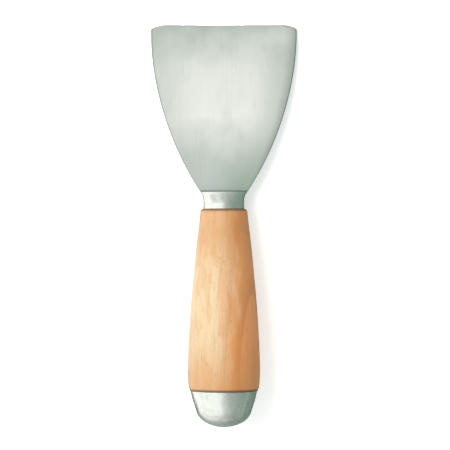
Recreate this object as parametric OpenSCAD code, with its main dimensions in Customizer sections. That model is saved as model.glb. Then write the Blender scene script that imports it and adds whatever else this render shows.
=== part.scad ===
// Hand floor scraper with a flared steel blade, a steel bolster, a wooden
// handle and a domed steel strike cap.
//
// The tool lies flat: +Y runs from the cap to the cutting edge, +X across the
// blade and +Z out of the blade's front face. The origin is the centre of the
// bounding box. The shank is riveted to the blade's tongue, runs through the
// handle and is pulled tight by a nut under the cap, so the handle, bolster
// and blade are clamped together; blows on the cap pass down the shank.

/* [Blade] */
// Width of the cutting edge
blade_w = 76; // [60:1:90]
// Length of the blade in front of the bolster
blade_len = 87; // [75:1:100]
// Thickness of the blade plate
blade_t = 2; // [1.8:0.1:2.4]
// Width of the blade where it meets the bolster
neck_w = 24.6; // [23:0.1:26]
// Radius of the two corners of the cutting edge
corner_r = 2.2; // [1:0.1:4]
// Length of the grind on the back face
bevel_len = 5; // [3:0.5:8]

/* [Bolster] */
// Length of the bolster along the tool
bolster_len = 9; // [8:0.5:12]
// Width of the bolster's straight rear part
bolster_w = 21.4; // [20.5:0.1:22.5]
// Depth of the bolster where it meets the blade
bolster_front_depth = 15; // [14:0.5:20]

/* [Handle] */
// Length of visible wood
handle_len = 95; // [85:1:110]
// Width of the handle at its front shoulder
handle_front_w = 24.6; // [24:0.1:26]
// Width of the handle at its widest place
handle_max_w = 38.2; // [37:0.2:42]
// Width of the handle where it meets the cap
handle_end_w = 35.6; // [35.2:0.2:36.6]

/* [Cap] */
// Length of the strike cap
cap_len = 19; // [18.5:0.5:21]
// Width of the cap at its rim
cap_w = 34.8; // [34:0.2:35]
// Wall thickness of the cap's skirt
cap_wall = 2; // [1.6:0.1:2.2]
// Thickness of the cap at its striking end
cap_end_t = 3; // [2.5:0.1:3.5]

/* [Shank] */
// Diameter of the shank's fork head
fork_d = 14; // [13.6:0.1:14.2]
// Diameter of the shank
shank_d = 8; // [7:0.1:8.4]
// Nominal thread diameter at the rear of the shank
thread_d = 6; // [5:1:6]

/* [Hidden] */
$fn = 96;

total_len = blade_len + bolster_len + handle_len + cap_len;
edge_y = total_len / 2;
shoulder_y = edge_y - blade_len;      // blade meets bolster
joint_y = shoulder_y - bolster_len;   // bolster meets handle
rim_y = joint_y - handle_len;         // handle meets cap
pole_y = rim_y - cap_len;             // striking end of the cap

slack = 0.1;                          // clearance around fixed inner pieces
over = 1;                             // how far a cutter runs past a face

// Blade: grinds, tongue and the bow of its sides
edge_land = 0.3;
front_grind_len = 1.4;
front_grind_depth = 0.25;
tongue_w = 12;
tongue_t = blade_t - 0.4;             // thinner, so it is stepped from the faces
tongue_len = bolster_len + 22;
side_bow = 1.015;                     // half widths out, a third of the way back
side_bow_at = 0.33;
side_draw = 0.78;                     // half widths out, where the sides draw in
side_draw_at = 0.7;
side_steps = 20;
corner_steps = 6;

// Bolster
bolster_front_t = 2.5;                // solid wall that the tongue passes through
flare_len = 4.7;
flare_ease = 0.62;                    // where the flare's curve starts to open
flare_late = 0.25;                    // where it is steepest
flare_share = 0.45;                   // share of the flare reached there
slope_len = 0.72 * bolster_len;       // stretch over which the depth falls
slope_mid = 0.45;
slope_late = 0.2;
slope_drop = 0.3;
slope_rise = 0.9;
slope_steps = 8;

// Shank
fork_front_y = shoulder_y - bolster_front_t;
fork_rear_y = joint_y - 24;
slot_t = tongue_t + slack;
rivet_d = 4;
rivet_ys = [joint_y - 6, joint_y - 16];
thread_front_y = rim_y + 6;
thread_rear_y = pole_y + cap_end_t + 0.5;
pitch = 1;
ridge = 0.5;

// Clamping hardware in the rear counterbore
seat_y = rim_y - 2;
seat_d = 13;
washer_d = 12;
washer_t = 1.6;
spring_od = 11.1;
spring_t = 1.5;
spring_gap = 1;
nut_af = 10;
nut_t = 5;
nut_chamfer = 0.6;

// Handle
front_chamfer = 1.1;
front_chamfer_len = 1.6;
belly_at = 0.88;                      // share of the length to the widest place
swell = 0.57;                         // share of the swell reached at swell_at
swell_at = 0.33;
swell_late = 0.89;
swell_late_at = 0.61;
butt_round = 6;
butt_bulge = 0.9;
butt_steps = 8;
fork_gap = 0.5;                       // space behind the fork head

// Cap, and the wooden tenon that fills its skirt
skirt_len = 0.6 * cap_len;
skirt_taper = 3.1;
skirt_lean = 0.5;                     // how far the wall leans in near the rim
skirt_lean_knee = 1.1;                // how far it still stands out near the knee
skirt_pull = 4;                       // length of stretch over which it does so
skirt_steps = 6;
knee_share = 0.3;                     // part of the end wall that moves the knee
dome_shoulder = 0.92;
dome_flat = 0.53;
pin_d = 2.5;
pin_len = 7;
pin_tip = 1;
pin_chamfer = 0.3;
pin_sink = 0.75;                      // pin head inside the rim's radius
pin_y = rim_y - 5;

curve_steps = 12;

// Point at t on the cubic Bezier curve with control points p
function bezier(p, t) =
    pow(1 - t, 3) * p[0] + 3 * pow(1 - t, 2) * t * p[1]
    + 3 * (1 - t) * t * t * p[2] + pow(t, 3) * p[3];

// Points along that curve, its first point left out
function curve(p, steps) = [for (i = [1 : steps]) bezier(p, i / steps)];

// Mirror image of an outline across x = 0, in reverse order
function mirrored(points) =
    [for (i = [len(points) - 1 : -1 : 0]) [-points[i][0], points[i][1]]];

// Place where the cap's skirt turns into its dome, for a wall ending at end
function knee_y(end) = rim_y - skirt_len + knee_share * end;

// Tapered skirt from the rim to the knee, inset from the cap's outside
function skirt(inset, end) =
    let (
        rim_r = cap_w / 2 - inset,
        knee_r = rim_r - skirt_taper,
        knee = knee_y(end)
    )
    concat([[rim_r, rim_y]], curve([
        [rim_r, rim_y],
        [rim_r - skirt_lean, rim_y - skirt_pull],
        [knee_r + skirt_lean_knee, knee + skirt_pull],
        [knee_r, knee]
    ], skirt_steps));

// Shallow dome from the knee to the pole
function dome(inset, end) =
    let (
        knee_r = cap_w / 2 - inset - skirt_taper,
        knee = knee_y(end),
        tip = pole_y + end
    )
    curve([
        [knee_r, knee],
        [dome_shoulder * knee_r, (knee + tip) / 2],
        [dome_flat * knee_r, tip],
        [0, tip]
    ], curve_steps);

// Solid of revolution about the tool's axis, from [radius, y] points
module turned(points) {
    rotate([-90, 0, 0])
        rotate_extrude()
            polygon(points);
}

// Round bar along the tool's axis
module bar_y(d, y0, y1) {
    translate([0, min(y0, y1), 0])
        rotate([-90, 0, 0])
            cylinder(d = d, h = abs(y1 - y0));
}

// Flat bar centred on the axis, from y0 to y1
module flat_y(w, t, y0, y1) {
    translate([-w / 2, min(y0, y1), -t / 2])
        cube([w, abs(y1 - y0), t]);
}

module rivet_holes(d) {
    for (y = rivet_ys)
        translate([0, y, 0])
            cylinder(d = d, h = fork_d + 2 * over, center = true);
}

module blade_outline() {
    half = blade_w / 2;
    corner = [for (i = [0 : corner_steps])
        let (a = 90 - 90 * i / corner_steps)
        [half - corner_r + corner_r * cos(a), edge_y - corner_r + corner_r * sin(a)]];
    side = curve([
        [half, edge_y - corner_r],
        [side_bow * half, edge_y - side_bow_at * blade_len],
        [side_draw * half, edge_y - side_draw_at * blade_len],
        [neck_w / 2, shoulder_y]
    ], side_steps);
    right = concat(corner, side);
    polygon(concat(right, mirrored(right)));
}

// Side profile of the plate: long grind on the back, fine one on the front
module blade_section() {
    top = blade_t / 2;
    land_top = top - front_grind_depth;
    polygon([
        [shoulder_y, -top],
        [edge_y - bevel_len, -top],
        [edge_y, land_top - edge_land],
        [edge_y, land_top],
        [edge_y - front_grind_len, top],
        [shoulder_y, top]
    ]);
}

module blade() {
    color([0.80, 0.83, 0.80])
        difference() {
            union() {
                intersection() {
                    translate([0, 0, -blade_t])
                        linear_extrude(2 * blade_t)
                            blade_outline();
                    rotate([90, 0, 90])
                        linear_extrude(blade_w + 2 * over, center = true)
                            blade_section();
                }
                flat_y(tongue_w, tongue_t, shoulder_y - tongue_len, shoulder_y + over);
            }
            rivet_holes(rivet_d + slack);
        }
}

// Side profile of the bolster: its depth falls towards the blade
module bolster_section() {
    rear_r = bolster_w / 2;
    front_r = bolster_front_depth / 2;
    slope = curve([
        [shoulder_y - slope_len, rear_r],
        [shoulder_y - slope_mid * bolster_len, rear_r - slope_drop],
        [shoulder_y - slope_late * bolster_len, front_r + slope_rise],
        [shoulder_y, front_r]
    ], slope_steps);
    upper = concat(
        [[joint_y - over, rear_r + over], [shoulder_y - slope_len, rear_r + over]],
        slope
    );
    polygon(concat(
        upper,
        [for (i = [len(upper) - 1 : -1 : 0]) [upper[i][0], -upper[i][1]]]
    ));
}

module bolster() {
    front_r = neck_w / 2;
    rear_r = bolster_w / 2;
    flare = curve([
        [rear_r, shoulder_y - flare_len],
        [rear_r, shoulder_y - flare_ease * flare_len],
        [rear_r + flare_share * (front_r - rear_r), shoulder_y - flare_late * flare_len],
        [front_r, shoulder_y]
    ], curve_steps);
    color([0.86, 0.88, 0.86])
        difference() {
            intersection() {
                turned(concat(
                    [[0, joint_y], [rear_r, joint_y], [rear_r, shoulder_y - flare_len]],
                    flare,
                    [[0, shoulder_y]]
                ));
                rotate([90, 0, 90])
                    linear_extrude(neck_w + 2 * over, center = true)
                        bolster_section();
            }
            bar_y(fork_d + 3 * slack, joint_y - over, fork_front_y);
            flat_y(tongue_w + 2 * slack, tongue_t + 2 * slack, fork_front_y - over, shoulder_y + over);
        }
}

module shank() {
    root_r = thread_d / 2 - ridge;
    crest_r = thread_d / 2;
    turns = floor((thread_front_y - thread_rear_y) / pitch);
    color([0.55, 0.57, 0.58])
        difference() {
            union() {
                bar_y(fork_d, fork_rear_y, fork_front_y);
                bar_y(shank_d, thread_front_y, fork_rear_y + over);
                turned(concat(
                    [[0, thread_rear_y], [root_r, thread_rear_y]],
                    [for (i = [0 : turns - 1], side = [0, 1])
                        [side == 0 ? root_r : crest_r,
                         thread_rear_y + (i + 0.25 + 0.5 * side) * pitch]],
                    [[root_r, thread_front_y], [0, thread_front_y]]
                ));
            }
            flat_y(fork_d + 2 * over, slot_t, shoulder_y - tongue_len, fork_front_y + over);
            rivet_holes(rivet_d + slack);
        }
}

module blade_rivets() {
    color([0.62, 0.63, 0.62])
        intersection() {
            rivet_holes(rivet_d);
            bar_y(fork_d, fork_rear_y, fork_front_y);
        }
}

module handle() {
    front_r = handle_front_w / 2;
    max_r = handle_max_w / 2;
    end_r = handle_end_w / 2;
    belly_y = joint_y - belly_at * handle_len;
    shoulder = [front_r, joint_y - front_chamfer_len];
    tenon = skirt(cap_wall + slack, cap_end_t);
    tenon_tip_y = knee_y(cap_end_t);
    color([0.87, 0.66, 0.42])
        difference() {
            turned(concat(
                [[0, joint_y], [front_r - front_chamfer, joint_y], shoulder],
                curve([
                    shoulder,
                    [front_r + swell * (max_r - front_r), joint_y - swell_at * handle_len],
                    [front_r + swell_late * (max_r - front_r), joint_y - swell_late_at * handle_len],
                    [max_r, belly_y]
                ], curve_steps),
                curve([
                    [max_r, belly_y],
                    [max_r, rim_y + butt_round],
                    [end_r + butt_bulge, rim_y + butt_round / 3],
                    [end_r, rim_y]
                ], butt_steps),
                tenon,
                [[0, tenon_tip_y]]
            ));
            bar_y(fork_d + 3 * slack, fork_rear_y - fork_gap, joint_y + over);
            bar_y(shank_d + 4 * slack, tenon_tip_y - over, joint_y);
            bar_y(seat_d, tenon_tip_y - over, seat_y);
            pin_places()
                cylinder(d = pin_d, h = pin_len);
        }
}

module clamp_washer() {
    color([0.70, 0.71, 0.70])
        difference() {
            bar_y(washer_d, seat_y - washer_t, seat_y);
            bar_y(thread_d + 4 * slack, seat_y - washer_t - over, seat_y + over);
        }
}

module spring_washer() {
    front_y = seat_y - washer_t;
    color([0.45, 0.46, 0.47])
        difference() {
            bar_y(spring_od, front_y - spring_t, front_y);
            bar_y(thread_d + 2 * slack, front_y - spring_t - over, front_y + over);
            translate([-spring_gap / 2, front_y - spring_t - over, 0])
                cube([spring_gap, spring_t + 2 * over, spring_od]);
        }
}

module clamp_nut() {
    front_y = seat_y - washer_t - spring_t;
    rear_y = front_y - nut_t;
    flat_r = nut_af / 2;
    corner_d = nut_af / cos(30);
    color([0.66, 0.67, 0.66])
        difference() {
            intersection() {
                translate([0, rear_y, 0])
                    rotate([-90, 0, 0])
                        cylinder(d = corner_d, h = nut_t, $fn = 6);
                turned([
                    [0, rear_y],
                    [flat_r, rear_y],
                    [corner_d / 2 + slack, rear_y + nut_chamfer],
                    [corner_d / 2 + slack, front_y - nut_chamfer],
                    [flat_r, front_y],
                    [0, front_y]
                ]);
            }
            bar_y(thread_d + slack, rear_y - over, front_y + over);
        }
}

// Both pin places, +Z pointing inwards from the head
module pin_places() {
    for (side = [-1, 1])
        translate([side * (cap_w / 2 - pin_sink), pin_y, 0])
            rotate([0, -90 * side, 0])
                children();
}

module strike_cap() {
    inner = concat(skirt(cap_wall, cap_end_t), dome(cap_wall, cap_end_t));
    color([0.84, 0.86, 0.84])
        difference() {
            turned(concat(
                skirt(0, 0),
                dome(0, 0),
                [for (i = [len(inner) - 1 : -1 : 0]) inner[i]]
            ));
            rotate([0, 90, 0])
                translate([0, pin_y, 0])
                    cylinder(d = pin_d, h = 2 * cap_w, center = true);
        }
}

module cap_pins() {
    color([0.78, 0.79, 0.77])
        pin_places()
            rotate_extrude()
                polygon([
                    [0, 0],
                    [pin_d / 2 - pin_chamfer, 0],
                    [pin_d / 2, pin_chamfer],
                    [pin_d / 2, pin_len - pin_tip],
                    [0, pin_len]
                ]);
}

blade();
bolster();
shank();
blade_rivets();
handle();
clamp_washer();
spring_washer();
clamp_nut();
strike_cap();
cap_pins();
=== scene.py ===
import math

import bmesh
import bpy
from mathutils import Matrix, Vector, noise


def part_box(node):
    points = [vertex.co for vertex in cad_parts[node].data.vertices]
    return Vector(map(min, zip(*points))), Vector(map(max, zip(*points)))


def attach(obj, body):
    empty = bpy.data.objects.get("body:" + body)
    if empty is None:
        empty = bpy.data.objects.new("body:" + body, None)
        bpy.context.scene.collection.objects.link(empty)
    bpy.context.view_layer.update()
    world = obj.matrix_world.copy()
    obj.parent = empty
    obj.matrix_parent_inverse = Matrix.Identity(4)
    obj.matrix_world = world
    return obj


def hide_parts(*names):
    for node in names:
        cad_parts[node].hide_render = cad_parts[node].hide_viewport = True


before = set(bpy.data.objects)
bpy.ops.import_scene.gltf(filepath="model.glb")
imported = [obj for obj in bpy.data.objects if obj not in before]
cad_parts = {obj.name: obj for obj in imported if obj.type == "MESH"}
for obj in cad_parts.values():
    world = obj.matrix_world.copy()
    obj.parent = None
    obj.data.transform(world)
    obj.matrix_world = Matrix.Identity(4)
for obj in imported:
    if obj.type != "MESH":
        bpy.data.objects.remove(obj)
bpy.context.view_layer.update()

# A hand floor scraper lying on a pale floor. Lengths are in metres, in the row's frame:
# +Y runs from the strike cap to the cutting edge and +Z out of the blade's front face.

MM = 0.001

# ---------------------------------------------------------------- places taken from the frame

BLADE_LO, BLADE_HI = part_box("blade")
BOLSTER_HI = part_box("bolster")[1]
HANDLE_LO, HANDLE_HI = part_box("handle")
CAP_LO, CAP_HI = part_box("strike_cap")
SHANK_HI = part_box("shank")[1]
WASHER_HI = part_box("clamp_washer")[1]
PIN_LO, PIN_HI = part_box("cap_pins")
RIVET_LO, RIVET_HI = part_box("blade_rivets")

EDGE_Y = BLADE_HI.y
SHOULDER_Y = BOLSTER_HI.y
JOINT_Y = HANDLE_HI.y
RIM_Y = CAP_HI.y
POLE_Y = CAP_LO.y
BLADE_LEN = EDGE_Y - SHOULDER_Y
HANDLE_LEN = JOINT_Y - RIM_Y
CAP_LEN = RIM_Y - POLE_Y

# Sizes that the boxes don't give. HALF_EDGE is just inside the CAD blade.
HALF_EDGE = 37.97 * MM
HALF_NECK = BOLSTER_HI.x
HALF_T = BLADE_HI.z
WAIST_R = BOLSTER_HI.z
HANDLE_R = HANDLE_HI.x
CAP_R = CAP_HI.x
FORK_R = SHANK_HI.x
FORK_GAP = 0.15 * MM
SHANK_R = 4 * MM
FORK_REAR_Y = JOINT_Y - 24 * MM
SEAT_R = 6.5 * MM
RIVET_R = 2 * MM
PIN_Y = (PIN_LO.y + PIN_HI.y) / 2
PIN_R = PIN_HI.z
PIN_HOLE_R = PIN_R + 0.01 * MM
PIN_LEN = 7 * MM
KNEE_INSET = 3.1 * MM


# ---------------------------------------------------------------- curves and mesh building

LATHE_SEGMENTS = 160
ON_AXIS = 1e-6
HOLE_SIDES = 48
CUTTER_SPIN = math.radians(2.3)
WELD = 0.006 * MM


def bezier(points, t):
    """Point at t on a cubic Bezier curve given by four (a, b) pairs."""
    weights = ((1 - t) ** 3, 3 * (1 - t) ** 2 * t, 3 * (1 - t) * t * t, t ** 3)
    return tuple(sum(w * p[k] for w, p in zip(weights, points)) for k in (0, 1))


def curve(points, steps):
    """Points along that curve, its first point included."""
    return [bezier(points, i / steps) for i in range(steps + 1)]


def smooth(x):
    """Smooth step from 0 to 1."""
    x = min(1.0, max(0.0, x))
    return x * x * (3 - 2 * x)


def loft(name, rings, ring_loop=False, strip_caps=False):
    """Closed mesh through rings of points. A ring of one point ends the mesh in a pole, ring_loop joins
    the last ring to the first, and strip_caps closes flat end rings across from front to back."""
    bm = bmesh.new()
    rows = [[bm.verts.new(p) for p in ring] for ring in rings]
    pairs = list(zip(rows, rows[1:]))
    if ring_loop:
        pairs.append((rows[-1], rows[0]))
    for a, b in pairs:
        count = max(len(a), len(b))
        for i in range(count):
            j = (i + 1) % count
            corners = [a[i % len(a)], a[j % len(a)], b[j % len(b)], b[i % len(b)]]
            bm.faces.new(list(dict.fromkeys(corners)))
    if strip_caps:
        for row in (rows[0], rows[-1]):
            last = len(row) - 1
            for i in range(len(row) // 2 - 1):
                bm.faces.new([row[i], row[i + 1], row[last - i - 1], row[last - i]])
    bmesh.ops.recalc_face_normals(bm, faces=bm.faces)
    mesh = bpy.data.meshes.new(name)
    bm.to_mesh(mesh)
    bm.free()
    obj = bpy.data.objects.new(name, mesh)
    bpy.context.scene.collection.objects.link(obj)
    return obj


def lathe(name, profile, ring_loop=False, wobble=None):
    """Turned shape from (radius, y) pairs. A radius of nothing makes a pole, and wobble(r, y, angle)
    is how much is taken off the radius."""
    rings = []
    for r, y in profile:
        if r < ON_AXIS:
            rings.append([Vector((0, y, 0))])
            continue
        ring = []
        for i in range(LATHE_SEGMENTS):
            angle = 2 * math.pi * i / LATHE_SEGMENTS
            radius = r - (wobble(r, y, angle) if wobble else 0)
            ring.append(Vector((radius * math.cos(angle), y, radius * math.sin(angle))))
        rings.append(ring)
    return loft(name, rings, ring_loop)


def drill(obj, holes):
    """Cuts round holes: each hole is (centre, axis letter, radius, length). The cutter is turned a
    little so that its corners miss the piece's own edges, and points that still fall together are
    welded."""
    for centre, axis, radius, length in holes:
        bpy.ops.mesh.primitive_cylinder_add(
            vertices=HOLE_SIDES, radius=radius, depth=length, location=centre)
        cutter = bpy.context.object
        cutter.data.transform(Matrix.Rotation(CUTTER_SPIN, 4, "Z"))
        if axis == "x":
            cutter.rotation_euler = (0, math.pi / 2, 0)
        bpy.context.view_layer.update()
        cut = obj.modifiers.new("hole", "BOOLEAN")
        cut.operation = "DIFFERENCE"
        cut.solver = "EXACT"
        cut.object = cutter
        bpy.context.view_layer.objects.active = obj
        bpy.ops.object.modifier_apply(modifier=cut.name)
        bpy.data.objects.remove(cutter)
    bm = bmesh.new()
    bm.from_mesh(obj.data)
    bmesh.ops.remove_doubles(bm, verts=bm.verts, dist=WELD)
    bmesh.ops.dissolve_degenerate(bm, dist=WELD, edges=bm.edges)
    bm.to_mesh(obj.data)
    bm.free()


def shade(obj, angle=32):
    """Smooth shading with edges sharper than angle kept crisp."""
    for face in obj.data.polygons:
        face.use_smooth = True
    obj.data.set_sharp_from_angle(angle=math.radians(angle))


def radius_at(profile, y):
    """Radius at y of a turned profile of (radius, y) points."""
    for (r0, y0), (r1, y1) in zip(profile, profile[1:]):
        if min(y0, y1) <= y <= max(y0, y1):
            return r0 + (r1 - r0) * (y - y0) / (y1 - y0)


def bead(corner, radius, turn_from, turn_to, steps=5):
    """Arc of (radius, y) points round a centre, for a softened turned edge."""
    return [
        (corner[0] + radius * math.cos(math.radians(turn_from + (turn_to - turn_from) * i / steps)),
         corner[1] + radius * math.sin(math.radians(turn_from + (turn_to - turn_from) * i / steps)))
        for i in range(steps + 1)
    ]


# ---------------------------------------------------------------- materials

RING_PITCH = 0.45 * MM
BLOW_REACH = 9 * MM
PITH_OFF_X = 34 * MM
PITH_OFF_Z = 21 * MM
YEAR_RING = 4.1 * MM


def fill_ramp(ramp, stops):
    """Gives a colour ramp its (place, colour) stops."""
    while len(ramp.elements) < len(stops):
        ramp.elements.new(0.5)
    for element, (place, colour) in zip(ramp.elements, stops):
        element.position = place
        element.color = colour


def srgb(r, g, b):
    """Linear colour from 0-255 display values."""
    def channel(c):
        c /= 255
        return c / 12.92 if c <= 0.04045 else ((c + 0.055) / 1.055) ** 2.4
    return (channel(r), channel(g), channel(b), 1.0)


class Graph:
    """A node material built up one node at a time."""

    def __init__(self, name, **shader):
        self.material = bpy.data.materials.new(name)
        self.material.use_nodes = True
        self.tree = self.material.node_tree
        self.shader = self.tree.nodes["Principled BSDF"]
        for key, value in shader.items():
            self.shader.inputs[key.replace("_", " ")].default_value = value
        self.coords = self.tree.nodes.new("ShaderNodeTexCoord").outputs["Object"]
        split = self.node("ShaderNodeSeparateXYZ", Vector=self.coords)
        self.x, self.y, self.z = split.outputs

    def node(self, kind, **inputs):
        made = self.tree.nodes.new(kind)
        for key, value in inputs.items():
            self.feed(made.inputs[key], value)
        return made

    def feed(self, socket, value):
        if isinstance(value, bpy.types.NodeSocket):
            self.tree.links.new(value, socket)
        else:
            socket.default_value = value

    def stretched(self, x, y, z):
        """Coordinates scaled by x, y and z, in features per metre."""
        return self.node("ShaderNodeMapping", Vector=self.coords, Scale=(x, y, z)).outputs["Vector"]

    def attribute(self, name):
        made = self.tree.nodes.new("ShaderNodeAttribute")
        made.attribute_name = name
        return made.outputs["Fac"]

    def noise(self, vector, scale=1.0, detail=3.0, roughness=0.5):
        made = self.node("ShaderNodeTexNoise", Vector=vector, Scale=scale, Detail=detail,
                         Roughness=roughness)
        return made.outputs["Fac"]

    def remap(self, value, low, high, to_low=0.0, to_high=1.0, kind="SMOOTHSTEP"):
        made = self.tree.nodes.new("ShaderNodeMapRange")
        made.interpolation_type = kind
        for key, given in (("Value", value), ("From Min", low), ("From Max", high),
                           ("To Min", to_low), ("To Max", to_high)):
            self.feed(made.inputs[key], given)
        return made.outputs["Result"]

    def math(self, operation, a, b):
        made = self.tree.nodes.new("ShaderNodeMath")
        made.operation = operation
        self.feed(made.inputs[0], a)
        self.feed(made.inputs[1], b)
        return made.outputs[0]

    def mix(self, factor, a, b, blend="MIX"):
        made = self.tree.nodes.new("ShaderNodeMix")
        made.data_type = "RGBA"
        made.blend_type = blend
        self.feed(made.inputs[0], factor)
        self.feed(made.inputs[6], a)
        self.feed(made.inputs[7], b)
        return made.outputs[2]

    def ramp(self, value, stops):
        made = self.node("ShaderNodeValToRGB", Fac=value)
        fill_ramp(made.color_ramp, stops)
        return made.outputs["Color"]

    def bump(self, height, distance, strength=1.0, under=None):
        made = self.node("ShaderNodeBump", Height=height, Distance=distance, Strength=strength)
        if under:
            self.feed(made.inputs["Normal"], under)
        return made.outputs["Normal"]

    def finish(self, colour, roughness=None, normal=None):
        self.feed(self.shader.inputs["Base Color"], colour)
        if roughness is not None:
            self.feed(self.shader.inputs["Roughness"], roughness)
        if normal is not None:
            self.feed(self.shader.inputs["Normal"], normal)
        return self.material


def blade_steel():
    """Satin ground steel with painted light: a painted highlight across the middle of its length, darker
    towards the shoulder and the cutting edge, painted shade along both sides, most on the right, and a
    darker, greener painted shade next to the bolster, deepest on the right."""
    g = Graph("blade_steel", Metallic=0.86, Specular_IOR_Level=0.5)
    blotch = g.noise(g.coords, scale=42, detail=4, roughness=0.55)
    drift = g.remap(blotch, 0.3, 0.7, -0.07, 0.07, "LINEAR")
    # Painted reflection: along places each point on a painted highlight, palest a little nearer the
    # shoulder than the cutting edge and darker towards both ends; corner lightens it at the right corner
    # by the cutting edge.
    along = g.math("ADD", g.remap(g.y, SHOULDER_Y, EDGE_Y, 0, 1, "LINEAR"), drift)
    across = g.attribute("across")
    corner = g.math("MULTIPLY", g.remap(across, 0.1, 0.7, 0, -0.09),
                    g.remap(g.y, EDGE_Y - 16 * MM, EDGE_Y - 5 * MM, 0, 1))
    along = g.math("ADD", along, corner)
    tone = g.ramp(along, [
        (0.00, srgb(198, 205, 200)),
        (0.20, srgb(205, 212, 206)),
        (0.45, srgb(245, 245, 242)),
        (0.74, srgb(235, 237, 231)),
        (0.88, srgb(213, 218, 212)),
        (1.00, srgb(184, 191, 186)),
    ])
    # Painted shade: both long sides are darker than the middle, the right side more and less so near the
    # cutting edge, and the right edge darker still.
    by_edge = g.remap(g.y, EDGE_Y - 15 * MM, EDGE_Y - 4 * MM, 1, 0)
    right = g.math("MULTIPLY", g.remap(across, 0.35, 0.9, 0, 0.6), by_edge)
    left = g.math("MULTIPLY", g.remap(across, -0.95, -0.35, 0.42, 0),
                  g.remap(g.y, SHOULDER_Y + 12 * MM, SHOULDER_Y + 36 * MM, 0.35, 1))
    side_shade = g.math("ADD", right, left)
    tone = g.mix(side_shade, tone, srgb(186, 196, 188))
    tone = g.mix(g.remap(across, 0.82, 1.0, 0, 0.7), tone, srgb(150, 158, 151))
    # Painted shade: darker and greener next to the bolster, deepest on the right side.
    neck_shade = g.math("MULTIPLY", g.remap(g.y, SHOULDER_Y, SHOULDER_Y + 27 * MM, 1, 0),
                  g.remap(g.x, -9 * MM, 11 * MM, 0, 0.8))
    tone = g.mix(neck_shade, tone, srgb(158, 175, 161))
    wash = g.noise(g.stretched(60, 26, 60), detail=5, roughness=0.6)
    tone = g.mix(g.remap(wash, 0.50, 0.62, 0, 0.16), tone, srgb(172, 184, 175))
    streaks = g.noise(g.stretched(2600, 38, 2600), detail=4, roughness=0.6)
    tone = g.mix(g.remap(streaks, 0.35, 0.65, 0.0, 0.08, "LINEAR"), tone, srgb(176, 184, 178))
    scratches = g.noise(g.stretched(900, 55, 900), detail=2)
    scratch = g.remap(scratches, 0.67, 0.72, 0, 0.14)
    tone = g.mix(scratch, tone, srgb(150, 158, 152))
    seat = g.remap(g.y, SHOULDER_Y + 0.35 * MM, SHOULDER_Y + 0.9 * MM, 0.8, 0)
    tone = g.mix(g.math("MAXIMUM", g.attribute("rim"), seat), tone, srgb(96, 106, 99))
    roughness = g.remap(streaks, 0.3, 0.7, 0.34, 0.50, "LINEAR")
    normal = g.bump(streaks, 0.02 * MM, 0.2, g.bump(blotch, 0.4 * MM, 0.12))
    return g.finish(tone, roughness, normal)


def bright_steel(name, light, stain, worn_y=None):
    """Polished turned steel with fine lathe rings; near worn_y it is dulled and marked by blows."""
    g = Graph(name, Metallic=0.96, Specular_IOR_Level=0.5)
    cloud = g.noise(g.coords, scale=110, detail=3)
    tone = g.mix(g.remap(cloud, 0.35, 0.7, 0, 0.6), light, srgb(206, 213, 206))
    tarnish = g.noise(g.stretched(230, 150, 230), detail=3.5, roughness=0.6)
    tone = g.mix(g.remap(tarnish, 0.48, 0.64, 0, stain), tone, srgb(176, 192, 181))
    rings = g.noise(g.stretched(20, 1 / RING_PITCH, 20), detail=2)
    roughness = g.remap(rings, 0.3, 0.7, 0.245, 0.26, "LINEAR")
    normal = g.bump(rings, 0.01 * MM, 0.05)
    if worn_y is not None:
        near = g.remap(g.y, worn_y, worn_y + BLOW_REACH, 1, 0)
        marks = g.noise(g.coords, scale=420, detail=5, roughness=0.65)
        spots = g.math("MULTIPLY", near, g.remap(marks, 0.45, 0.65))
        tone = g.mix(g.math("MULTIPLY", spots, 0.35), tone, srgb(166, 174, 167))
        rougher = g.math("MULTIPLY", near, g.remap(marks, 0.3, 0.7, 0.08, 0.2))
        roughness = g.math("ADD", roughness, rougher)
        normal = g.bump(g.math("MULTIPLY", marks, near), 0.03 * MM, 0.3, normal)
    return g.finish(tone, roughness, normal)


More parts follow.
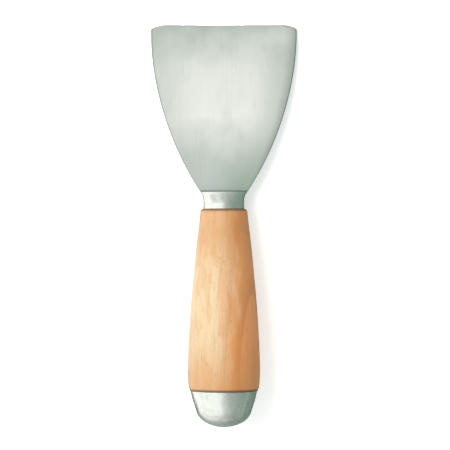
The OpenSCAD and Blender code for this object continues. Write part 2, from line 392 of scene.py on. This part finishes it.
def varnished_beech():
    """Turned beech under thin varnish, with painted light and shade across it: a pale sapwood colour on
    the lit left and a darker heartwood colour on the shaded right. Also soft patches where the varnish
    soaked in, faint growth rings, fine fibre and flecks, painted shade towards both ends and grime against
    the steel."""
    g = Graph("handle_wood", Metallic=0.0, Specular_IOR_Level=0.45, Coat_Weight=0.3,
              Coat_Roughness=0.25)
    warp = g.noise(g.stretched(26, 5, 26), detail=3)
    off_x = g.math("ADD", g.x, PITH_OFF_X)
    off_z = g.math("ADD", g.z, PITH_OFF_Z)
    squares = g.math("ADD", g.math("MULTIPLY", off_x, off_x), g.math("MULTIPLY", off_z, off_z))
    distance = g.math("ADD", g.math("SQRT", squares, 0.0), g.math("MULTIPLY", warp, 9 * MM))
    season = g.math("FRACT", g.math("MULTIPLY", distance, 1 / YEAR_RING), 0.0)
    rings = g.remap(season, 0.3, 0.98, 0, 0.35)
    late = g.remap(season, 0.35, 0.98, 0, 0.8)
    # Painted light and shade across the handle: a pale sapwood colour stands for the lit left side and its
    # sheen, and a darker heartwood colour for the shaded right side, with an uneven step between them.
    wander = g.noise(g.stretched(105, 38, 105), detail=2.5, roughness=0.5)
    sideways = g.math("ADD", g.x, g.remap(wander, 0.3, 0.7, -3.8 * MM, 3.8 * MM, "LINEAR"))
    lit_sapwood = g.mix(rings, srgb(203, 181, 146), srgb(198, 170, 129))
    shaded_heartwood = g.mix(late, srgb(207, 134, 71), srgb(188, 113, 54))
    tone = g.mix(g.remap(sideways, -4 * MM, 1.5 * MM, 0, 0.42), lit_sapwood, shaded_heartwood)
    tone = g.mix(g.remap(sideways, 3 * MM, 7.5 * MM, 0, 0.85), tone, shaded_heartwood)
    soaked = g.noise(g.stretched(150, 62, 150), detail=2.5, roughness=0.5)
    tone = g.mix(g.remap(soaked, 0.50, 0.57, 0, 0.26), tone, srgb(188, 140, 79))
    # Painted shade: the wood is darker towards the front and towards the butt.
    front = g.remap(g.y, JOINT_Y - 40 * MM, JOINT_Y - 10 * MM, 0, 0.6)
    butt_end_shade = g.remap(g.y, RIM_Y + 1 * MM, RIM_Y + 36 * MM, 0.58, 0)
    tone = g.mix(g.math("MAXIMUM", front, butt_end_shade), tone, srgb(184, 127, 72))
    fibre = g.noise(g.stretched(1500, 42, 1500), detail=4, roughness=0.6)
    tone = g.mix(g.remap(fibre, 0.45, 0.75, 0, 0.36), tone, srgb(178, 118, 70))
    flecks = g.noise(g.stretched(2400, 330, 2400), detail=2)
    fleck = g.remap(flecks, 0.63, 0.71, 0, 0.45)
    tone = g.mix(fleck, tone, srgb(140, 88, 50))
    front_grime = g.remap(g.y, JOINT_Y - 1.8 * MM, JOINT_Y - 0.3 * MM, 0, 0.85)
    rear_grime = g.remap(g.y, RIM_Y + 0.5 * MM, RIM_Y + 1.7 * MM, 0.9, 0)
    tone = g.mix(g.math("MAXIMUM", front_grime, rear_grime), tone, srgb(104, 62, 36))
    roughness = g.remap(fibre, 0.3, 0.7, 0.42, 0.56, "LINEAR")
    normal = g.bump(fleck, 0.03 * MM, 0.5, g.bump(fibre, 0.04 * MM, 0.3))
    return g.finish(tone, roughness, normal)


def plain_steel(name, light, dark, rough):
    """Unseen working steel: a blotched finish with fine scale."""
    g = Graph(name, Metallic=0.95)
    blotch = g.noise(g.coords, scale=260, detail=5, roughness=0.6)
    fine = g.noise(g.coords, scale=1500, detail=3)
    tone = g.mix(g.remap(blotch, 0.35, 0.65), light, dark)
    roughness = g.remap(blotch, 0.3, 0.7, rough - 0.07, rough + 0.1, "LINEAR")
    return g.finish(tone, roughness, g.bump(fine, 0.02 * MM, 0.4))


# ---------------------------------------------------------------- blade

GRIND_LEN = 5 * MM
FINE_GRIND_LEN = 1.4 * MM
FINE_GRIND_DEPTH = 0.25 * MM
LAND = 0.3 * MM
LEFT_CORNER = (7.5 * MM, 2.4 * MM, 1.5)
RIGHT_CORNER = (7.0 * MM, 2.4 * MM, 1.6)
COLUMNS = 110
BODY_ROWS = 76
# Rows of points near the edge: their distances from it in millimetres.
EDGE_ROWS = (0, 0.15, 0.35, 0.6, 0.85, 1.1, 1.4, 1.7, 2.0, 2.4, 3.0, 3.7, 4.4, 5.0, 5.3)
HALVINGS = 40
WEAR_LEN = 7 * MM
# Nicks in the edge: x, depth and width in millimetres.
NICKS = ((-21.5, 0.20, 0.7), (-6.0, 0.14, 0.5), (9.5, 0.22, 0.8), (24.0, 0.13, 0.5))


def edge_wear(x):
    """How far the cutting edge has worn back at x: hollow in the middle, with a few small nicks."""
    mm = x / MM
    hollow = 0.34 * math.exp(-((mm + 4) / 15) ** 2)
    ripple = 0.08 * (0.5 + 0.5 * noise.noise(Vector((mm * 0.16, 3.1, 0))))
    nicks = sum(depth * math.exp(-((mm - at) / width) ** 2) for at, depth, width in NICKS)
    return (hollow + ripple + nicks) * MM


SIDE = [
    (HALF_EDGE, EDGE_Y - 2.2 * MM),
    (1.015 * HALF_EDGE, EDGE_Y - 0.33 * BLADE_LEN),
    (0.78 * HALF_EDGE, EDGE_Y - 0.7 * BLADE_LEN),
    (HALF_NECK, SHOULDER_Y),
]


def half_width(y, corner):
    """Half width of the blade at y, with a worn corner at the edge. A corner is (length, height, power):
    power 2 is round, and a lower one is closer to a straight slope."""
    top_y = SIDE[0][1]
    if y >= top_y:
        width = SIDE[0][0]
    else:
        low, high = 0.0, 1.0
        for _ in range(HALVINGS):
            t = (low + high) / 2
            if bezier(SIDE, t)[1] > y:
                low = t
            else:
                high = t
        width = bezier(SIDE, low)[0]
    length, height, power = corner
    from_edge = (EDGE_Y - y) / height
    if from_edge < 1:
        width -= length * (1 - max(0.0, 1 - (1 - from_edge) ** power) ** (1 / power))
    return width


def plate_ring(y, left, right, top, bottom, soften):
    """Section of a plate across the tool, front row then back row, with softened long edges."""
    inner = [-left + soften + (left + right - 2 * soften) * i / COLUMNS for i in range(COLUMNS + 1)]
    front = [(-left, top - soften)] + [(x, top) for x in inner] + [(right, top - soften)]
    back = [(-left, bottom + soften)] + [(x, bottom) for x in inner] + [(right, bottom + soften)]
    return [Vector((x, y, z)) for x, z in front + back[::-1]]


def mark_outline(blade, count):
    """Two attributes for the blade's material: rim is the deburred outline, where scale and dirt stay on,
    and across runs from -1 at the left side to 1 at the right."""
    rim = blade.data.attributes.new("rim", "FLOAT", "POINT")
    across = blade.data.attributes.new("across", "FLOAT", "POINT")
    half = count // 2
    for i in range(len(blade.data.vertices)):
        column = i % count
        place = min(column % half, half - 1 - column % half)
        along_edge = 0.45 if i // count < 2 else 0.0
        rim.data[i].value = max((0.85, 0.7)[place] if place < 2 else 0.0, along_edge)
        from_left = column if column < half else count - 1 - column
        across.data[i].value = 2 * from_left / (half - 1) - 1


def make_blade():
    rows = [EDGE_Y - d * MM for d in EDGE_ROWS]
    last = rows[-1]
    rows += [last + (SHOULDER_Y - last) * (i + 1) / BODY_ROWS for i in range(BODY_ROWS)]
    rings = []
    for y in rows:
        into_front = max(0.0, 1 - (EDGE_Y - y) / FINE_GRIND_LEN)
        into_back = max(0.0, 1 - (EDGE_Y - y) / GRIND_LEN)
        top = HALF_T - FINE_GRIND_DEPTH * into_front
        bottom = -HALF_T + (2 * HALF_T - FINE_GRIND_DEPTH - LAND) * into_back
        soften = min(0.22 * MM, 0.3 * (top - bottom))
        left = half_width(y, LEFT_CORNER)
        right = half_width(y, RIGHT_CORNER)
        ring = plate_ring(y, left, right, top, bottom, soften)
        blend = smooth(1 - (EDGE_Y - y) / WEAR_LEN)
        rings.append([Vector((p.x, p.y - edge_wear(p.x) * blend, p.z)) for p in ring])
    tongue_half = 6 * MM
    tongue_t = HALF_T - 0.2 * MM
    for y in (SHOULDER_Y, BLADE_LO.y):
        rings.append(plate_ring(y, tongue_half, tongue_half, tongue_t, -tongue_t, 0.15 * MM))
    blade = loft("blade_plate", rings, strip_caps=True)
    mark_outline(blade, len(rings[0]))
    rivet_ys = (RIVET_HI.y - RIVET_R, RIVET_LO.y + RIVET_R)
    drill(blade, [((0, y, 0), "z", RIVET_R + 0.05 * MM, 8 * MM) for y in rivet_ys])
    shade(blade, 14)
    return blade


def beaten(obj, outer, depth, pitch, low_y, high_y):
    """Presses shallow lumps, up to depth and about pitch apart, into the vertices numbered in outer,
    between two stations."""
    for index in outer:
        vertex = obj.data.vertices[index]
        p = vertex.co
        if not low_y < p.y < high_y:
            continue
        fade = smooth((high_y - p.y) / (2 * MM)) * smooth((p.y - low_y) / (2 * MM))
        lump = 0.5 + 0.5 * noise.noise(Vector((p.x, p.y * 0.8, p.z)) / pitch)
        reach = math.hypot(p.x, p.z)
        keep = 1 - depth * lump * fade / reach
        vertex.co = Vector((p.x * keep, p.y, p.z * keep))


# ---------------------------------------------------------------- bolster

FRONT_HALF_DEPTH = 7.5 * MM
FLARE_LEN = 4.7 * MM
WALL_FRONT = 2.5 * MM
RING_POINTS = 144


def oval(y, half_x, half_z, power=2.0):
    """Ring of points on a rounded oval across the tool."""
    ring = []
    for i in range(RING_POINTS):
        a = 2 * math.pi * i / RING_POINTS
        c, s = math.cos(a), math.sin(a)
        ring.append(Vector((
            half_x * math.copysign(abs(c) ** (2 / power), c), y,
            half_z * math.copysign(abs(s) ** (2 / power), s))))
    return ring


def slot_ring(y, half_x, half_z):
    """Ring on a rectangle, spaced by angle so it pairs with an oval."""
    ring = []
    for i in range(RING_POINTS):
        a = 2 * math.pi * i / RING_POINTS
        c, s = math.cos(a), math.sin(a)
        reach = 1 / max(abs(c), abs(s))
        ring.append(Vector((half_x * c * reach, y, half_z * s * reach)))
    return ring


def make_bolster():
    flare_y = SHOULDER_Y - FLARE_LEN
    widths = curve([
        (WAIST_R, flare_y),
        (WAIST_R, flare_y + 0.38 * FLARE_LEN),
        (WAIST_R + 0.45 * (HALF_NECK - WAIST_R), SHOULDER_Y - 0.25 * FLARE_LEN),
        (HALF_NECK, SHOULDER_Y),
    ], 14)
    slope_y = SHOULDER_Y - 0.72 * (SHOULDER_Y - JOINT_Y)
    rings = [oval(JOINT_Y, WAIST_R - 0.25 * MM, WAIST_R - 0.25 * MM),
             oval(JOINT_Y + 0.1 * MM, WAIST_R - 0.07 * MM, WAIST_R - 0.07 * MM),
             oval(JOINT_Y + 0.3 * MM, WAIST_R, WAIST_R)]
    steps = 34
    start = JOINT_Y + 0.6 * MM
    lip = 0.35 * MM
    for i in range(steps + 1):
        y = start + (SHOULDER_Y - lip - start) * i / steps
        half_x = WAIST_R
        for (w0, y0), (w1, y1) in zip(widths, widths[1:]):
            if y0 <= y <= y1:
                half_x = w0 + (w1 - w0) * (y - y0) / (y1 - y0)
        down = smooth((y - slope_y) / (SHOULDER_Y - slope_y))
        half_z = WAIST_R + (FRONT_HALF_DEPTH - WAIST_R) * down
        rings.append(oval(y, half_x, half_z, 2.0 + 0.25 * down))
    tip_x = rings[-1][0].x
    for back, inset in ((0.2, 0.06), (0.08, 0.18), (0.0, 0.36)):
        half_x = tip_x - inset * MM
        half_z = FRONT_HALF_DEPTH - inset * MM
        rings.append(oval(SHOULDER_Y - back * MM, half_x, half_z, 2.25))
    outer = range(len(rings) * RING_POINTS)
    slot_x, slot_z = 6.1 * MM, HALF_T - 0.1 * MM
    bore = FORK_R + FORK_GAP
    rings.append(slot_ring(SHOULDER_Y, slot_x, slot_z))
    rings.append(slot_ring(SHOULDER_Y - WALL_FRONT, slot_x, slot_z))
    rings.append(oval(SHOULDER_Y - WALL_FRONT, bore, bore))
    rings.append(oval(JOINT_Y, bore, bore))
    bolster = loft("bolster_collar", rings, ring_loop=True)
    beaten(bolster, outer, 0.16 * MM, 3.4 * MM, JOINT_Y, SHOULDER_Y - lip)
    shade(bolster, 35)
    return bolster


# ---------------------------------------------------------------- handle

FRONT_R = 12.3 * MM
BUTT_R = 17.8 * MM
BELLY_Y = JOINT_Y - 0.88 * HANDLE_LEN
PIN_HOLE_LEN = 20 * MM


def hand_turned(r, y, angle):
    """Small hollows that hand turning and sanding leave in the wood, nothing at the fitted ends."""
    if r < 11 * MM:
        return 0.0
    fade = smooth((y - RIM_Y) / (6 * MM)) * smooth((JOINT_Y - y) / (6 * MM))
    p = Vector((math.cos(angle) * 1.1, y / (17 * MM), math.sin(angle) * 1.1))
    return 0.26 * MM * fade * (0.5 + 0.5 * noise.noise(p))


def make_handle():
    swell = HANDLE_R - FRONT_R
    side = curve([
        (FRONT_R, JOINT_Y - 1.6 * MM),
        (FRONT_R + 0.57 * swell, JOINT_Y - 0.33 * HANDLE_LEN),
        (FRONT_R + 0.89 * swell, JOINT_Y - 0.61 * HANDLE_LEN),
        (HANDLE_R, BELLY_Y),
    ], 60)
    butt = curve([
        (HANDLE_R, BELLY_Y),
        (HANDLE_R, RIM_Y + 6 * MM),
        (BUTT_R + 0.9 * MM, RIM_Y + 2 * MM),
        (BUTT_R, RIM_Y + 0.5 * MM),
    ], 16)
    shoulder = curve([
        (FRONT_R - 1.35 * MM, JOINT_Y),
        (FRONT_R - 0.75 * MM, JOINT_Y),
        (FRONT_R - 0.05 * MM, JOINT_Y - 0.9 * MM),
        (FRONT_R, JOINT_Y - 1.6 * MM),
    ], 8)
    lip = bead((BUTT_R - 0.5 * MM, RIM_Y + 0.5 * MM), 0.5 * MM, 0, -90)
    tenon_r = CAP_R - 2.1 * MM
    tenon_tip_r = tenon_r - KNEE_INSET
    tenon = curve([
        (tenon_r, RIM_Y),
        (tenon_r - 0.5 * MM, RIM_Y - 4 * MM),
        (tenon_tip_r + 1.1 * MM, HANDLE_LO.y + 4 * MM),
        (tenon_tip_r, HANDLE_LO.y),
    ], 10)
    fork_bore = FORK_R + FORK_GAP
    shank_bore = SHANK_R + 0.2 * MM
    inside = [
        (SEAT_R, HANDLE_LO.y), (SEAT_R, WASHER_HI.y),
        (shank_bore, WASHER_HI.y), (shank_bore, FORK_REAR_Y - 0.5 * MM),
        (fork_bore, FORK_REAR_Y - 0.5 * MM), (fork_bore, JOINT_Y),
    ]
    profile = shoulder + side[1:] + butt[1:] + lip[1:] + tenon + inside
    handle = lathe("wooden_handle", profile, ring_loop=True, wobble=hand_turned)
    middle = PIN_HI.x - PIN_LEN + PIN_HOLE_LEN / 2
    drill(handle, [((end * middle, PIN_Y, 0), "x", PIN_HOLE_R, PIN_HOLE_LEN) for end in (-1, 1)])
    shade(handle, 40)
    return handle


# ---------------------------------------------------------------- strike cap

# Dents in the struck face: x, z, width and depth in millimetres.
DENTS = ((4.0, 3.0, 3.6, 0.09), (-5.0, 4.5, 4.2, 0.08), (1.0, -6.0, 3.8, 0.10),
         (-7.5, -3.0, 3.2, 0.07), (8.0, -4.5, 3.4, 0.08))
PIN_POINTS = 32
CAP_WALL = 2 * MM
CAP_END = 3 * MM
DENTED_LEN = 2.6 * MM
CAP_BEATING = (0.3 * MM, 4.6 * MM, POLE_Y, RIM_Y)


def cap_skirt():
    """Outer side of the cap, from its rim to the knee where the dome starts."""
    knee_r = CAP_R - KNEE_INSET
    knee_y = RIM_Y - 0.6 * CAP_LEN
    return curve([
        (CAP_R - 0.05 * MM, RIM_Y - 0.35 * MM),
        (CAP_R - 0.5 * MM, RIM_Y - 4 * MM),
        (knee_r + 1.1 * MM, knee_y + 4 * MM),
        (knee_r, knee_y),
    ], 22)


def make_pins():
    """Both cap pins as one piece, their outer ends ground flush with the worn side of the cap."""
    skirt = cap_skirt()
    inner_x = PIN_HI.x - PIN_LEN

    def station(side, r, x=None, sink=0.0):
        ring = []
        for i in range(PIN_POINTS if r else 1):
            angle = 2 * math.pi * i / PIN_POINTS
            y = PIN_Y + r * math.cos(angle)
            z = r * math.sin(angle)
            out = math.sqrt(radius_at(skirt, y) ** 2 - z * z) - sink if x is None else x
            ring.append(Vector((side * out, y, z)))
        return ring

    pins = []
    for side in (-1, 1):
        rings = [
            station(side, 0, inner_x + 0.02 * MM),
            station(side, 0.2 * PIN_R, inner_x + 0.2 * MM),
            station(side, PIN_R, inner_x + 1 * MM),
            station(side, PIN_R, sink=0.16 * MM),
            station(side, PIN_R - 0.1 * MM, sink=0.04 * MM),
            station(side, 0.6 * PIN_R, sink=0.02 * MM),
            station(side, 0, sink=0.02 * MM),
        ]
        pin = loft("pin_end", rings)
        outer = [v.index for v in pin.data.vertices if abs(v.co.x) > inner_x + PIN_LEN / 2]
        beaten(pin, outer, *CAP_BEATING)
        pins.append(pin)
    bpy.ops.object.select_all(action="DESELECT")
    for pin in pins:
        pin.select_set(True)
    bpy.context.view_layer.objects.active = pins[0]
    bpy.ops.object.join()
    pins[0].name = "cap_pin_pair"
    shade(pins[0], 35)
    return pins[0]


def make_cap():
    skirt = cap_skirt()
    knee_r, knee_y = skirt[-1]
    dome = curve([
        (knee_r, knee_y),
        (0.92 * knee_r, (knee_y + POLE_Y) / 2),
        (0.53 * knee_r, POLE_Y),
        (0, POLE_Y),
    ], 34)
    inner_r = knee_r - CAP_WALL
    inner_knee = knee_y + 0.9 * MM
    inner_dome = curve([
        (0, POLE_Y + CAP_END),
        (0.53 * inner_r, POLE_Y + CAP_END),
        (0.92 * inner_r, (inner_knee + POLE_Y + CAP_END) / 2),
        (inner_r, inner_knee),
    ], 16)
    inner_skirt = curve([
        (inner_r, inner_knee),
        (inner_r + 1.1 * MM, inner_knee + 4 * MM),
        (CAP_R - CAP_WALL - 0.5 * MM, RIM_Y - 4 * MM),
        (CAP_R - CAP_WALL, RIM_Y),
    ], 12)
    rim = [(CAP_R - 0.4 * MM, RIM_Y), (CAP_R - 0.14 * MM, RIM_Y - 0.1 * MM)]
    profile = inner_dome + inner_skirt[1:] + rim + skirt + dome[1:]
    cap = lathe("cap_shell", profile)
    inner_count = 1 + (len(inner_dome) + len(inner_skirt) - 2) * LATHE_SEGMENTS
    outer = range(inner_count, len(cap.data.vertices) - 1)
    beaten(cap, outer, *CAP_BEATING)
    for vertex in cap.data.vertices:
        p = vertex.co
        if p.y > POLE_Y + DENTED_LEN:
            continue
        for x, z, width, depth in DENTS:
            away = math.hypot(p.x / MM - x, p.z / MM - z) / width
            p.y += depth * MM * math.exp(-away * away)
    drill(cap, [((0, PIN_Y, 0), "x", PIN_HOLE_R, 60 * MM)])
    shade(cap, 35)
    return cap


# ---------------------------------------------------------------- pieces on the frame

def fit(obj, material, node):
    obj.data.materials.clear()
    obj.data.materials.append(material)
    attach(obj, "root")
    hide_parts(node)


def refinish(node, material):
    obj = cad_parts[node]
    obj.data.materials.clear()
    obj.data.materials.append(material)


blade = make_blade()
bolster = make_bolster()
handle = make_handle()
cap = make_cap()
fit(blade, blade_steel(), "blade")
fit(bolster, bright_steel("bolster_steel", srgb(225, 228, 222), 0.16), "bolster")
fit(handle, varnished_beech(), "handle")
fit(cap, bright_steel("cap_steel", srgb(225, 228, 223), 0.32, worn_y=POLE_Y), "strike_cap")

rivet_steel = plain_steel("rivet_steel", srgb(206, 209, 203), srgb(168, 172, 166), 0.34)
hardware_steel = plain_steel("hardware_steel", srgb(200, 203, 200), srgb(166, 170, 168), 0.36)
refinish("shank", plain_steel("shank_steel", srgb(150, 152, 152), srgb(98, 100, 102), 0.5))
refinish("blade_rivets", rivet_steel)
fit(make_pins(), rivet_steel, "cap_pins")
refinish("clamp_washer", hardware_steel)
refinish("clamp_nut", hardware_steel)
refinish("spring_washer", plain_steel("spring_steel", srgb(120, 122, 124), srgb(76, 78, 80), 0.42))


# ---------------------------------------------------------------- floor, light and camera

# Strengths: the floor's own glow, the even level that lights matte surfaces, and the white that
# the camera sees behind everything.
FLOOR_GLOW = 0.325
AMBIENT = 0.78
BACKDROP = 1.1
FLOOR_REACH = 2
CENTRE_OF_MASS = Vector((0, -7.7 * MM, 0))
LEAN_STEP = 0.1
LEAN_TRIES = 120


def settle(pieces):
    """Lean, up direction and height of the surface that the tool lies on. It settles at the lean that
    brings its centre of mass lowest, which is on the front half of the handle with the blade just off
    the surface."""
    under = [v.co for piece in pieces for v in piece.data.vertices if v.co.z < 0]
    found = []
    for step in range(LEAN_TRIES):
        lean = math.radians(LEAN_STEP * step)
        up = Vector((0, -math.sin(lean), math.cos(lean)))
        height = min(point.dot(up) for point in under)
        found.append((CENTRE_OF_MASS.dot(up) - height, lean, up, height))
    return min(found, key=lambda trial: trial[0])[1:]


lean, up, height = settle((blade, bolster, handle, cap))


def lay_down(name, material, x_range, y_range, above=0.0):
    """Flat sheet lying on the resting surface."""
    bpy.ops.mesh.primitive_grid_add(x_subdivisions=8, y_subdivisions=8, size=1)
    sheet = bpy.context.object
    sheet.name = name
    along = Vector((0, math.cos(lean), math.sin(lean)))
    sheet.scale = (x_range[1] - x_range[0], y_range[1] - y_range[0], 1)
    sheet.rotation_euler = (lean, 0, 0)
    middle_x = Vector((sum(x_range) / 2, 0, 0))
    sheet.location = up * (height + above) + along * (sum(y_range) / 2) + middle_x
    sheet.data.materials.append(material)
    return sheet


def make_floor():
    """Light table: pale paint with a glow that the camera sees, so that shadows on it stay faint. It is
    one-sided, because it leans with the tool and a low camera behind the blade would be under it."""
    paint = Graph("floor_paint", Roughness=0.9, Specular_IOR_Level=0.15)
    mottle = paint.noise(paint.coords, scale=6, detail=2)
    tone = paint.mix(mottle, srgb(250, 249, 247), srgb(253, 252, 250))
    paint.shader.inputs["Emission Color"].default_value = (0.89, 1.0, 1.0, 1)
    seen = paint.tree.nodes.new("ShaderNodeLightPath")
    glow = paint.math("MULTIPLY", seen.outputs["Is Camera Ray"], FLOOR_GLOW)
    paint.feed(paint.shader.inputs["Emission Strength"], glow)
    paint.finish(tone)
    side = paint.tree.nodes.new("ShaderNodeNewGeometry")
    clear = paint.tree.nodes.new("ShaderNodeBsdfTransparent")
    choose = paint.tree.nodes.new("ShaderNodeMixShader")
    paint.feed(choose.inputs[0], side.outputs["Backfacing"])
    paint.feed(choose.inputs[1], paint.shader.outputs[0])
    paint.feed(choose.inputs[2], clear.outputs[0])
    paint.feed(paint.tree.nodes["Material Output"].inputs["Surface"], choose.outputs[0])
    reach = (-FLOOR_REACH, FLOOR_REACH)
    lay_down("floor", paint.material, reach, reach)


CARD_HEIGHT = 0.1 * MM
CARD_X = 12 * MM
CARD_Y = -0.5


def dark_card(name, x_range, y_range, tone):
    """Card laid beside the tool to give polished surfaces something dark to mirror. The camera, matte
    surfaces and shadows ignore it."""
    card = Graph(name, Roughness=1.0, Specular_IOR_Level=0.0)
    grain = card.noise(card.coords, scale=30, detail=2)
    lighter = tuple(1.15 * c for c in tone[:3]) + (1.0,)
    paint = card.finish(card.mix(grain, tone, lighter))
    sheet = lay_down(name, paint, x_range, y_range, CARD_HEIGHT)
    sheet.visible_camera = False
    sheet.visible_diffuse = False
    sheet.visible_shadow = False


# What polished surfaces mirror: colours from left to right along DIM_WAY, dimmed to REAR_DIM behind
# the strike cap, and to FLAG_DIM in a patch round FLAG_WAY so that the blade keeps its tone when it
# is seen from the near right. The spans are the cosines between which each dimming fades.
SURROUND = [
    (0.00, (1.35, 1.35, 1.31, 1)),
    (0.30, (1.32, 1.32, 1.28, 1)),
    (0.44, (1.14, 1.15, 1.12, 1)),
    (0.50, (0.86, 0.88, 0.85, 1)),
    (0.59, (0.52, 0.56, 0.53, 1)),
    (0.80, (0.40, 0.46, 0.42, 1)),
    (0.92, (0.30, 0.38, 0.33, 1)),
    (1.00, (0.27, 0.35, 0.30, 1)),
]
DIM_WAY = Vector((0.99, 0.13, 0))
REAR_SPAN = (-0.9, -0.6)
REAR_DIM = 0.68
FLAG_WAY = Vector((-0.64, 0.64, 0.42))
FLAG_SPAN = (0.89, 0.985)
FLAG_DIM = 0.70


def make_world():
    """Studio surround. Polished surfaces mirror a sky that is bright on the left and dims to grey-green
    on the right, matte ones are lit at an even level, and the camera sees plain white."""
    world = bpy.data.worlds.new("studio")
    bpy.context.scene.world = world
    world.use_nodes = True
    tree = world.node_tree
    surround = tree.nodes["Background"]
    coords = tree.nodes.new("ShaderNodeTexCoord")
    split = tree.nodes.new("ShaderNodeSeparateXYZ")
    project = tree.nodes.new("ShaderNodeVectorMath")
    project.operation = "DOT_PRODUCT"
    project.inputs[1].default_value = DIM_WAY
    spread = tree.nodes.new("ShaderNodeMapRange")
    spread.inputs["From Min"].default_value = -1
    spread.inputs["From Max"].default_value = 1
    ramp = tree.nodes.new("ShaderNodeValToRGB")
    fill_ramp(ramp.color_ramp, SURROUND)
    plain = tree.nodes.new("ShaderNodeBackground")
    plain.inputs["Color"].default_value = (1, 1, 0.99, 1)
    seen = tree.nodes.new("ShaderNodeLightPath")
    strength = tree.nodes.new("ShaderNodeMapRange")
    strength.inputs["To Min"].default_value = AMBIENT
    strength.inputs["To Max"].default_value = BACKDROP
    tree.links.new(seen.outputs["Is Camera Ray"], strength.inputs["Value"])
    tree.links.new(strength.outputs["Result"], plain.inputs["Strength"])
    choose = tree.nodes.new("ShaderNodeMixShader")
    tree.links.new(coords.outputs["Generated"], split.inputs[0])
    tree.links.new(coords.outputs["Generated"], project.inputs[0])
    tree.links.new(project.outputs["Value"], spread.inputs["Value"])
    tree.links.new(spread.outputs["Result"], ramp.inputs["Fac"])
    tree.links.new(ramp.outputs["Color"], surround.inputs["Color"])
    behind = tree.nodes.new("ShaderNodeMapRange")
    behind.inputs["From Min"].default_value = REAR_SPAN[0]
    behind.inputs["From Max"].default_value = REAR_SPAN[1]
    behind.inputs["To Min"].default_value = REAR_DIM
    tree.links.new(split.outputs["Y"], behind.inputs["Value"])
    toward_flag = tree.nodes.new("ShaderNodeVectorMath")
    toward_flag.operation = "DOT_PRODUCT"
    toward_flag.inputs[1].default_value = FLAG_WAY
    tree.links.new(coords.outputs["Generated"], toward_flag.inputs[0])
    flag = tree.nodes.new("ShaderNodeMapRange")
    flag.inputs["From Min"].default_value = FLAG_SPAN[0]
    flag.inputs["From Max"].default_value = FLAG_SPAN[1]
    flag.inputs["To Min"].default_value = 1
    flag.inputs["To Max"].default_value = FLAG_DIM
    tree.links.new(toward_flag.outputs["Value"], flag.inputs["Value"])
    dimmed = tree.nodes.new("ShaderNodeMath")
    dimmed.operation = "MULTIPLY"
    tree.links.new(behind.outputs["Result"], dimmed.inputs[0])
    tree.links.new(flag.outputs["Result"], dimmed.inputs[1])
    tree.links.new(dimmed.outputs[0], surround.inputs["Strength"])
    tree.links.new(seen.outputs["Is Glossy Ray"], choose.inputs[0])
    tree.links.new(plain.outputs[0], choose.inputs[1])
    tree.links.new(surround.outputs[0], choose.inputs[2])
    tree.links.new(choose.outputs[0], tree.nodes["World Output"].inputs["Surface"])


KEY_PLACE = (-0.75, 0.3, 1.15)
KEY_SIZE = 1.0
KEY_POWER = 17.5
KEY_COLOUR = (1.0, 0.99, 0.965)


def area_light(name, place, aim, size, power, colour):
    """Soft round light that polished surfaces don't mirror; they see the studio surround instead."""
    data = bpy.data.lights.new(name, "AREA")
    data.shape = "DISK"
    data.size = size
    data.energy = power
    data.color = colour
    light = bpy.data.objects.new(name, data)
    light.location = place
    light.visible_glossy = False
    light.rotation_mode = "QUATERNION"
    light.rotation_quaternion = (Vector(aim) - Vector(place)).to_track_quat("-Z", "Y")
    bpy.context.scene.collection.objects.link(light)


FIELD = 0.23504
DISTANCE = 1.6
SENSOR = 36.0
CAMERA_SHIFT = 0.6 * MM


def make_camera():
    """Long lens straight above the blade's front face, with the cutting edge at the top of the picture."""
    data = bpy.data.cameras.new("camera")
    data.sensor_width = SENSOR
    data.lens = SENSOR * DISTANCE / FIELD
    camera = bpy.data.objects.new("camera", data)
    camera.location = (CAMERA_SHIFT, CAMERA_SHIFT, DISTANCE)
    bpy.context.scene.collection.objects.link(camera)
    bpy.context.scene.camera = camera


make_floor()
make_world()
dark_card("right_card", (CARD_X, 600 * MM), (CARD_Y, 0.3), (0.17, 0.24, 0.20, 1))
dark_card("near_card", (-60 * MM, CARD_X), (CARD_Y, POLE_Y - 2 * MM), (0.26, 0.30, 0.27, 1))
dark_card("cap_card", (-36 * MM, CARD_X), (POLE_Y - 2 * MM, RIM_Y + 8 * MM), (0.10, 0.12, 0.11, 1))
dark_card("bolster_card", (-21 * MM, CARD_X), (JOINT_Y - 8 * MM, SHOULDER_Y), (0.10, 0.12, 0.11, 1))
area_light("key", KEY_PLACE, (0, 0, 0), KEY_SIZE, KEY_POWER, KEY_COLOUR)
make_camera()
bpy.context.scene.view_settings.view_transform = "Standard"
